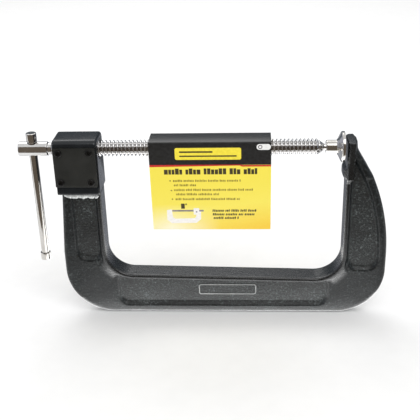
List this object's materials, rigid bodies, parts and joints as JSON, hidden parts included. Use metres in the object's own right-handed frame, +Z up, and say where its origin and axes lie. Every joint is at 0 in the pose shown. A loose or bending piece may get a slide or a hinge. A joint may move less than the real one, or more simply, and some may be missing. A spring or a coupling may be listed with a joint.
{
  "type": "C clamp",
  "caption": "C clamp with a cast frame, a threaded screw with a sliding tommy bar, a swivel pad and a push-button quick release in the head.",
  "frame": {"origin": "middle of the spine's flat underside, halfway between the two arms and on the frame's mid-plane", "axes": "+X along the screw from the handle towards the anvil, +Y towards the release button, +Z up from the spine to the screw"},
  "size_m": [0.3371, 0.0426, 0.1845],
  "materials": {
    "hammered_paint": "rough hammered enamel, dark grey-green",
    "satin_paint": "smooth satin black",
    "cover_paint": "matte black",
    "black_screw": "black oxide, slightly glossy",
    "weld": "rough silvery weld",
    "bronze": "plain machined bronze",
    "steel": "machined, lightly oiled",
    "bright_plate": "bright nickel-chrome plate on rolled thread",
    "dull_plate": "nickel plate, slightly warm",
    "printed_card": "coated printed card, yellow with a black band"
  },
  "bodies": {
    "frame": {"frame_casting": "hammered_paint", "head_housing": "satin_paint", "weld_bead_front": "weld", "weld_bead_back": "weld", "cover_plate": "cover_paint", "cover_screw_1": "black_screw", "cover_screw_2": "black_screw", "cover_screw_3": "black_screw", "cover_screw_4": "black_screw", "guide_bush_outer": "bronze", "guide_bush_inner": "bronze", "stem_bush": "bronze", "spring_seat": "steel", "return_spring": "steel"},
    "release": {"release_block": "steel", "half_nut": "bronze", "release_button": "black_screw"},
    "carrier": {"ball_ring": "steel"},
    "spindle": {"screw_spindle": "bright_plate"},
    "pad": {"swivel_pad": "dull_plate"},
    "bar": {"tommy_bar": "dull_plate", "bar_cap_upper": "dull_plate", "bar_cap_lower": "dull_plate"},
    "card": {"card_sleeve": "printed_card"}
  },
  "joints": [
    {"name": "button_press", "type": "slide", "parent": "frame", "child": "release", "axis": [0, -1, 0], "range_m": [0, 0.0025], "stiffness_N_per_m": 2000, "springref_m": -0.003, "deforming": ["return_spring"]},
    {"name": "quick_slide", "type": "slide", "parent": "frame", "child": "carrier", "axis": [1, 0, 0], "range_m": [-0.2019, 0], "deforming": ["card_sleeve"]},
    {"name": "screw_spin", "type": "hinge", "parent": "carrier", "child": "spindle", "pos_m": [0, 0, 0.1693], "axis": [1, 0, 0], "continuous": true},
    {"name": "pad_tilt", "type": "hinge", "parent": "carrier", "child": "pad", "pos_m": [0.099, 0, 0.1693], "axis": [0, 1, 0], "range_deg": [-4, 4]},
    {"name": "bar_slide", "type": "slide", "parent": "spindle", "child": "bar", "axis": [0, 0, 1], "range_m": [0, 0.0989]},
    {"name": "card_swing", "type": "hinge", "parent": "frame", "child": "card", "pos_m": [-0.01, 0, 0.1693], "axis": [1, 0, 0], "range_deg": [-100, 100]}
  ]
}
